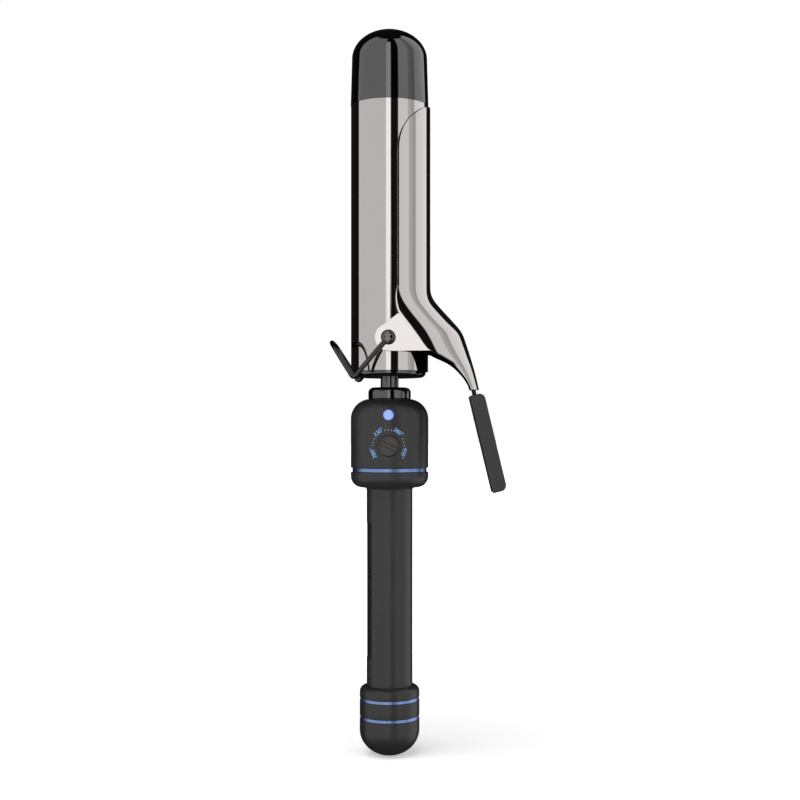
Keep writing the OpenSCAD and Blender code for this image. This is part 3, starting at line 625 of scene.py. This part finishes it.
# The control head, the collar and the neck
head = dict(wall=2, shoulder=10, hole=6.6, ringSink=0.8, dialHole=5.2, lensHole=2.8, lip=0.25)
collar = dict(edge=2.5, spigot=6.5)
neck = dict(wall=1.1)


def buildTrimRing():
    outer, inner = headR - head["ringSink"], low("control_housing", 0) * -1 - head["wall"] - 1.7
    foot, top = cupTop + 0.05, headFoot - 0.05
    skin = headR - head["wall"] - 0.1
    rim = [(inner, foot - 1.55), (skin, foot - 1.55), (skin, foot)]
    rim += arc((outer - 0.3, foot + 0.3), 0.3, -90, 0, 4)
    rim += arc((outer - 0.3, top - 0.3), 0.3, 0, 90, 4)
    return turnProfile("headTrimRing", [*rim, (skin, top), (skin, top + 1.85), (inner, top + 1.85)])


def buildHousing():
    crown = (headR - head["shoulder"], headTop - head["shoulder"])
    lip = head["lip"]
    outside = [(headR - lip, headFoot), (headR - lip * 0.3, headFoot + lip * 0.3), (headR, headFoot + lip)]
    outside += arc(crown, head["shoulder"], 0, 90, 26)
    inside = [(head["hole"], headTop), (head["hole"], headTop - head["wall"])]
    inside += arc(crown, head["shoulder"] - head["wall"], 90, 0, 14)
    piece = turnProfile("controlHousing", outside + inside + [(headR - head["wall"], headFoot)], steps=144)
    return cutAway(piece, rod(head["dialHole"], -headR - 1, -10, 0, dialZ, 96),
                   rod(head["lensHole"], -headR - 1, -10, 0, lensZ, 72))


def buildCollar():
    edge, spigot = collar["edge"], collar["spigot"]
    foot = headTop + 0.05
    rim = [(neckR + 0.1, headTop - 2), (spigot, headTop - 2), (spigot, foot)]
    rim += [(collarR - 0.2, foot), (collarR, foot + 0.2)]
    rim += arc((collarR - edge, collarTop - edge), edge, 0, 90, 14)
    return turnProfile("collar", [*rim, (neckR + 0.35, collarTop), (neckR + 0.1, collarTop - 0.25)])


def buildNeck():
    foot, top = low("neck_tube", 2), high("neck_tube", 2)
    inner = neckR - neck["wall"]
    rim = [(inner, foot), (neckR - 0.2, foot), (neckR, foot + 0.2), (neckR, top - 0.2), (neckR - 0.2, top)]
    return turnProfile("neckTube", [*rim, (inner, top)], steps=72)


fit(buildTrimRing(), "handle_and_barrel", "ring_blue", "head_trim_ring")
fit(buildHousing(), "handle_and_barrel", "soft_black", "control_housing")
fit(buildCollar(), "handle_and_barrel", "black_chrome", "collar")
fit(buildNeck(), "handle_and_barrel", "black_chrome", "neck_tube")
print("stage: head, collar and neck")

# The dial, the lamp's lens and the printed scale
dial = dict(radius=5, back=headR - 3.95, face=headR - 0.2, barLong=9.0, barWide=1.6, barTurn=25, rim=0.45,
            moat=0.45, moatDeep=0.5)
lens = dict(radius=2.75, back=headR - 6.95, ball=headR - 0.1, face=2.5)


def buildDial():
    radius, face, rim = dial["radius"], dial["face"], dial["rim"]
    profile = [(0, dial["back"]), (radius - 0.2, dial["back"]), (radius, dial["back"] + 0.2)]
    profile += arc((radius - rim, face - rim), rim, 0, 90, 8)
    profile += [(radius - 1.0, face), (radius - 1.15, face - 0.12), (0, face - 0.12)]
    disc = turnProfile("dialKnob", profile, steps=96)
    disc = putAt(disc, (0, 0, dialZ), (90, 0, 0))
    long, wide = dial["barLong"] / 2, dial["barWide"] / 2
    reach = wide + dial["moat"]
    moat = block(-long - 0.1, long + 0.1, -face - 1, -face + dial["moatDeep"], -reach, reach)
    disc = cutAway(disc, putAt(moat, (0, 0, dialZ), (0, dial["barTurn"], 0)))
    outline = arc((long - wide, 0), wide, -90, 90, 12) + arc((wide - long, 0), wide, 90, 270, 12)
    bar = pressOut("dialBar", outline, 1.5 - face, low("dial_knob", 1))
    bar = softenEdges(bar, 0.28, 3)
    bar = putAt(bar, (0, 0, dialZ), (0, dial["barTurn"], 0))
    return joined("dialKnob", [disc, bar])


def buildLens():
    radius, back, ball = lens["radius"], lens["back"], lens["ball"]
    turns = [i / 10 * math.asin(lens["face"] / ball) for i in range(10, -1, -1)]
    front = [(ball * math.sin(t), ball * math.cos(t)) for t in turns]
    edge = front[0][1]
    profile = [(0, back), (radius, back), (radius, edge - 0.25), (radius - 0.07, edge - 0.08), *front]
    return putAt(turnProfile("ledLens", profile, steps=64), (0, 0, lensZ), (90, 0, 0))


scale = dict(numbers=[("280", -114), ("330", -36), ("380", 36.5), ("430", 114)], reach=8.3, tall=2.05,
             dots=[-88, -76, -64, -12, 0, 12, 64, 76, 88], dotReach=7.9, dot=0.22, proud=0.04)


def wrapOnHead(piece):        # a flat print in X-Z is laid round the head's cylinder
    radius = headR + 0.025
    for vertex in piece.data.vertices:
        x, out, z = vertex.co.x / mm, -vertex.co.y / mm, vertex.co.z / mm
        far = (radius + out) * mm
        vertex.co = (far * math.sin(x / radius), -far * math.cos(x / radius), z * mm)
    return settle(piece)


def buildNumber(word, angle):
    clearSelection()
    bpy.ops.object.text_add()
    piece = bpy.context.object
    piece.name = "number" + word
    piece.data.body = word + "°"
    piece.data.align_x, piece.data.align_y = "CENTER", "CENTER"
    piece.data.size = scale["tall"] * 1.38 * mm
    piece.data.space_character = 1.02
    piece.data.extrude = scale["proud"] / 2 * mm
    bpy.ops.object.convert(target="MESH")
    piece = bpy.context.object
    piece.rotation_euler = (math.pi / 2, 0, 0)
    settle(piece)
    reach = scale["reach"]
    x, z = reach * math.sin(math.radians(angle)), reach * math.cos(math.radians(angle))
    return wrapOnHead(putAt(piece, (x, 0, dialZ + z), (0, angle, 0)))


def buildDot(angle):
    reach = scale["dotReach"]
    x, z = reach * math.sin(math.radians(angle)), reach * math.cos(math.radians(angle))
    outline = arc((x, dialZ + z), scale["dot"], 0, 345, 23)
    return wrapOnHead(pressOut("dot", outline, -scale["proud"], 0))


fit(buildDial(), "dial", "dial_plastic", "dial_knob")
fit(buildLens(), "handle_and_barrel", "lamp_lens", "led_lens")
numbers = joined("scaleNumbers", [buildNumber(*row) for row in scale["numbers"]])
fit(numbers, "handle_and_barrel", "print_blue")
fit(joined("scaleDots", [buildDot(angle) for angle in scale["dots"]]), "handle_and_barrel", "print_pale")
print("stage: dial, lamp and scale")

# The barrel, its tip and its base plate
barrel = dict(wall=0.8, lip=0.15, screwHole=1.55)
tip = dict(skirt=23.6, topR=18.75, wall=2, lip=0.3)
plate = dict(inset=1.2, edge=2.4)


def buildBarrel():
    inner, lip = barrelR - barrel["wall"], barrel["lip"]
    rim = [(inner, barrelFoot), (barrelR - lip, barrelFoot), (barrelR, barrelFoot + lip)]
    rim += [(barrelR, pivotZ), (barrelR, tipSeam - lip), (barrelR - lip, tipSeam), (inner, tipSeam)]
    piece = turnProfile("barrelTube", rim, steps=144)
    return cutAway(piece, rod(barrel["screwHole"], -barrelR - 2, barrelR + 2, 0, pivotZ, 48))


def buildTip():
    inner = barrelR - barrel["wall"] - 0.1
    seat, bend, lip = tipSeam + 0.05, tipSeam + tip["skirt"], tip["lip"]
    dome = tipTop - bend
    rim = [(inner - 2, tipFoot), (inner, tipFoot), (inner, seat)]
    rim += [(tipR - lip, seat), (tipR - lip * 0.3, seat + lip * 0.3), (tipR, seat + lip)]
    rim += arc((0, bend), tip["topR"], 0, 90, 40, flat=dome)
    rim += arc((0, bend), tip["topR"] - tip["wall"], 90, 0, 20, flat=dome - tip["wall"])
    return turnProfile("tipCap", [*rim, (inner - 2, seat + 2)], steps=144)


def buildPlate():
    radius, edge = barrelR - plate["inset"], plate["edge"]
    skin = barrelR - barrel["wall"] - 0.1
    rim = [(neckR + 0.1, plateFoot + 0.2), (neckR + 0.3, plateFoot)]
    rim += arc((radius - edge, plateFoot + edge), edge, -90, 0, 14)
    rim += [(radius, barrelFoot - 0.1), (skin - 0.5, barrelFoot - 0.1)]
    rim += [(skin, barrelFoot), (skin, plateTop), (skin - 1.5, plateTop), (skin - 1.5, barrelFoot)]
    rim += [(neckR + 0.1, barrelFoot)]
    return turnProfile("basePlate", rim, steps=112)


fit(buildBarrel(), "handle_and_barrel", "barrel_metal", "barrel_tube")
fit(buildTip(), "handle_and_barrel", "tip_gloss", "tip_cap")
fit(buildPlate(), "handle_and_barrel", "black_chrome", "base_plate")
print("stage: barrel, tip and plate")

# The clamp: blade, ears, tongue and thumb grip
# Each table runs up from the lever's end: a height from the pivot, then a slope, a share or an angle
blade = dict(
    thick=0.8, gap=0.3, wrap=77, drop=0.9, spoon=24, spoonTurn=88.5, bendTop=25.5, leverEnd=-25,
    ease=(-1.8, -0.9, 0, 0.9, 1.8), spoonRows=48, straightRows=12, bendRows=80, across=72,
    backSlopes=[(-25, 0.2), (-12, 0.3), (1.5, 0.345), (6.5, 0.92), (17, 0.92), (25.5, 0)],
    edgeSlopes=[(-25, 0.2), (-19, 0.8), (-15, 1), (-11.5, 1.2), (-9, 2.9), (-6.6, 1.3), (-3, 0.79),
                (11.7, 0.75), (18, 0.35), (25.5, 0)],
    widths=[(-25, 0.43), (-19, 0.53), (-15, 0.65), (-11.5, 0.78), (-9, 0.9), (-6, 1)],
    arches=[(-25, 70), (-14, 74), (-8, 82), (-3, 90), (11.7, 90), (25.5, 77)])
bladeR = barrelR + blade["gap"] + blade["thick"]


def lookUp(table, height):
    if height <= table[0][0]:
        return table[0][1]
    for (h0, v0), (h1, v1) in zip(table, table[1:]):
        if height <= h1:
            return v0 + (v1 - v0) * (height - h0) / (h1 - h0)
    return table[-1][1]


def runOut(slopes, height):        # how far these slopes have carried a line out at this height
    top = blade["bendTop"]
    if height >= top:
        return 0
    count = max(1, round((top - height) / 0.5))
    step = (top - height) / count
    return step * sum(lookUp(slopes, top - step * (i + 0.5)) for i in range(count))


def eased(read, table, height):        # the mean over a short stretch, so that no kink is left
    return sum(read(table, height + step) for step in blade["ease"]) / len(blade["ease"])


def backX(height):
    return bladeR + eased(runOut, blade["backSlopes"], height)


def edgeX(height):
    return eased(runOut, blade["edgeSlopes"], height)


def buildBlade():
    full = tipSeam - blade["drop"] - pivotZ - blade["spoon"]
    rows, count = [], blade["spoonRows"]
    for i in range(count + 1):        # the rounded end, from its point down
        turn = math.radians(blade["spoonTurn"] * (1 - i / count))
        rows.append((full + blade["spoon"] * math.sin(turn), blade["wrap"] * math.cos(turn)))
    straight, count = full - blade["bendTop"], blade["straightRows"]
    rows += [(full - straight * i / count, blade["wrap"]) for i in range(1, count + 1)]
    bends, count = blade["bendTop"] - blade["leverEnd"], blade["bendRows"]
    for i in range(1, count + 1):
        height = blade["bendTop"] - bends * i / count
        rows.append((height, eased(lookUp, blade["arches"], height)))
    clearSelection()
    bpy.ops.mesh.primitive_grid_add(x_subdivisions=blade["across"], y_subdivisions=len(rows) - 1, size=1)
    piece = bpy.context.object
    piece.name = piece.data.name = "clampBlade"
    for vertex in piece.data.vertices:
        height, half = rows[round((0.5 - vertex.co.y) * (len(rows) - 1))]
        angle = math.radians(half * vertex.co.x * 2)
        x = edgeX(height)
        if height < 0:        # the lever is trimmed short of a half round, with its edge where it was
            short = math.cos(math.radians(half))
            x = (x - backX(height) * short) / (1 - short)
        out = backX(height) - x
        wide = bladeR * eased(lookUp, blade["widths"], height)
        vertex.co = ((x + out * math.cos(angle)) * mm, wide * math.sin(angle) * mm, (pivotZ + height) * mm)
    piece.data.update()
    middle = piece.data.polygons[len(piece.data.polygons) // 2]
    if middle.normal.x < 0:
        bpy.ops.object.mode_set(mode="EDIT")
        bpy.ops.mesh.select_all(action="SELECT")
        bpy.ops.mesh.flip_normals()
        bpy.ops.object.mode_set(mode="OBJECT")
    # the rim and the bevelled edges get the second, near-black finish: painted shade along the blade's edge
    for name in ("barrel_metal", "rim_dark"):
        piece.data.materials.append(finishes[name])
    useModifier(piece, "SOLIDIFY", thickness=blade["thick"] * mm, offset=-1, use_even_offset=True,
                material_offset=1, material_offset_rim=1)
    return softenEdges(piece, 0.1, 2, 50, material=1)


ear = dict(radius=6.7, foot=-6.6, lap=0.5, bore=2.56, top=11.7)


def buildEar(side):
    radius = ear["radius"]
    heights = [ear["top"] + (ear["foot"] - ear["top"]) * i / 16 for i in range(17)]
    edge = [(edgeX(h) + ear["lap"], pivotZ + h) for h in heights]
    lean = math.atan2(ear["top"] - radius, edgeX(ear["top"]))
    round0 = arc((0, pivotZ), radius, 270, 90 + math.degrees(lean) * 0.45, 40)
    outline = [*edge, *round0, (edgeX(ear["top"]), pivotZ + ear["top"])]
    inner, outer = barrelR + blade["gap"], bladeR
    piece = pressOut("ear", outline, side * inner, side * outer)
    cutAway(piece, rod(ear["bore"], side * (inner - 1), side * (outer + 1), 0, pivotZ, 64))
    return softenEdges(piece, 0.15, 2, 40)


thumb = dict(turn=-13.5, thick=7.6, long=49.6, wide=16, corner=3, tongueThick=1.8, tongueWide=10,
             tongueX=-0.8, tongueTop=5, tongueLong=35, screws=(-10, -26), screwR=1.3, headR=2.3,
             inset=1.45, below=27.3)
thumbPlace = (backX(blade["leverEnd"]) - thumb["inset"], 0, pivotZ - thumb["below"])


def buildTongue():
    x0, x1 = thumb["tongueX"] - thumb["tongueThick"] / 2, thumb["tongueX"] + thumb["tongueThick"] / 2
    foot, half = -thumb["tongueLong"], thumb["tongueWide"] / 2
    outline = [(x0, foot), (x1, foot), (x1, thumb["tongueTop"]), (x0, thumb["tongueTop"])]
    piece = softenEdges(pressOut("leverTongue", outline, -half, half), 0.25, 3)
    for height in thumb["screws"]:
        hole = rod(thumb["screwR"] + 0.1, -4, 4, 0, 0, 32)
        cutAway(piece, putAt(hole, (thumb["tongueX"], 0, height), (0, 0, 90)))
    return putAt(piece, thumbPlace, (0, thumb["turn"], 0))


def buildThumbGrip():
    half, long, corner = thumb["thick"] / 2, thumb["long"], thumb["corner"]
    outline = [(-half, 0), (-half, -long)]
    outline += arc((half - corner, corner - long), corner, -90, 0, 10)
    outline += arc((half - corner, -corner), corner, 0, 90, 10)
    piece = softenEdges(pressOut("thumbGrip", outline, -thumb["wide"] / 2, thumb["wide"] / 2), 0.9, 5, 40)
    slot, x, wide = thumb["tongueThick"] / 2 + 0.1, thumb["tongueX"], thumb["tongueWide"] / 2 + 0.1
    cutAway(piece, block(x - slot, x + slot, -wide, wide, -thumb["tongueLong"] - 0.1, 1))
    for height in thumb["screws"]:
        shank = rod(thumb["screwR"] + 0.1, 0, thumb["thick"] - 1.4, 0, 0, 40)
        sink = rod(thumb["headR"] + 0.1, -1, 1.2, 0, 0, 48)
        cutAway(piece, *(putAt(cutter, (-half, 0, height), (0, 0, -90)) for cutter in (shank, sink)))
    return putAt(piece, thumbPlace, (0, thumb["turn"], 0))


fit(buildBlade(), "clamp", "barrel_metal", "clamp_blade")
fit(joined("clampEars", [buildEar(-1), buildEar(1)]), "clamp", "barrel_metal", "clamp_ears")
fit(buildTongue(), "clamp", "tongue_dark", "lever_tongue")
fit(buildThumbGrip(), "clamp", "thumb_plastic", "thumb_grip")
print("stage: clamp")

# The pivot screws and the wire stand
screw = dict(start=12.4, shank=1.45, shoulder=2.5, headR=2.85, head=0.9, rise=0.55, recess=3.9,
             slot=0.85, deep=0.7)
stand = dict(wire=1.2, eyeR=3.6, eyeHalf=1.1, bore=2.56, knee=(-16.8, -19.9), foot=(-28, -2),
             bends=(1.1, 13))


def buildScrew(side):
    start, seat = screw["start"], barrelR + 0.05
    shank, shoulder = screw["shank"], screw["shoulder"]
    big, top = screw["headR"], high("pivot_screws", 1)
    crown = top - screw["head"]
    profile = [(0, start), (shank - 0.3, start), (shank, start + 0.3), (shank, seat)]
    profile += [(shoulder, seat), (shoulder, crown), (big - 0.1, crown), (big, crown + 0.1)]
    profile += arc((0, top - screw["rise"]), big, 0, 90, 10, flat=screw["rise"])
    piece = turnProfile("pivotScrew", profile, steps=72)
    for turn in (45, 135):
        half, wide = screw["recess"] / 2, screw["slot"] / 2
        slot = block(-half, half, -wide, wide, top - screw["deep"], top + 1)
        cutAway(piece, putAt(slot, (0, 0, 0), (0, 0, turn)))
    return putAt(piece, (0, 0, pivotZ), (90 * (1 if side < 0 else -1), 0, 0))


def roundedWay(corners, bends, count=10):        # a 3-D line with its corners turned into arcs
    way = [corners[0]]
    for before, here, after, bend in zip(corners, corners[1:], corners[2:], bends):
        back, on = (before - here).normalized(), (after - here).normalized()
        half = back.angle(on) / 2
        cut = min(bend / math.tan(half), 0.8 * min((before - here).length, (after - here).length))
        radius = cut * math.tan(half)
        centre = here + (back + on).normalized() * (radius / math.sin(half))
        first, last = here + back * cut - centre, here + on * cut - centre
        turn = first.rotation_difference(last)
        axis, angle = turn.to_axis_angle()
        way += [centre + Matrix.Rotation(angle * i / count, 3, axis) @ first for i in range(count + 1)]
    return [*way, corners[-1]]


def buildStand():
    reachY = high("stand_wire", 1) - max(stand["wire"], stand["eyeHalf"])
    knee, foot = stand["knee"], stand["foot"]
    aim = Vector((knee[0], 0, knee[1])).normalized() * 3.0
    leg = [(aim.x, aim.z), knee, foot]
    corners = [Vector((x, -reachY, z)) for x, z in leg] + [Vector((x, reachY, z)) for x, z in leg[::-1]]
    atKnee, atFoot = stand["bends"]
    way = roundedWay(corners, (atKnee, atFoot, atFoot, atKnee))
    clearSelection()
    bpy.ops.curve.primitive_bezier_curve_add()
    curve = bpy.context.object
    line = curve.data
    line.splines.clear()
    spline = line.splines.new("POLY")
    spline.points.add(len(way) - 1)
    for point, place in zip(spline.points, way):
        point.co = (place.x * mm, place.y * mm, (place.z + pivotZ) * mm, 1)
    line.dimensions, line.bevel_depth, line.bevel_resolution = "3D", stand["wire"] * mm, 6
    line.use_fill_caps = True
    curve.location = (0, 0, 0)
    bpy.ops.object.convert(target="MESH")
    parts = [settle(bpy.context.object)]
    for side in (-1, 1):
        half, eyeR, bore = stand["eyeHalf"], stand["eyeR"], stand["bore"]
        ring = [(bore, -half + 0.15), (bore + 0.15, -half)]
        ring += arc((eyeR - 0.7, 0), 0.7, -90, 90, 14, flat=half)
        ring += [(bore + 0.15, half), (bore, half - 0.15)]
        eye = turnProfile("eye", ring, steps=64)
        parts.append(putAt(eye, (0, side * reachY, pivotZ), (90, 0, 0)))
    return joined("standWire", parts)


screws = joined("pivotScrews", [buildScrew(-1), buildScrew(1)])
fit(screws, "handle_and_barrel", "black_chrome", "pivot_screws")
fit(buildStand(), "stand", "wire_dark", "stand_wire")
print("stage: pivot and stand")
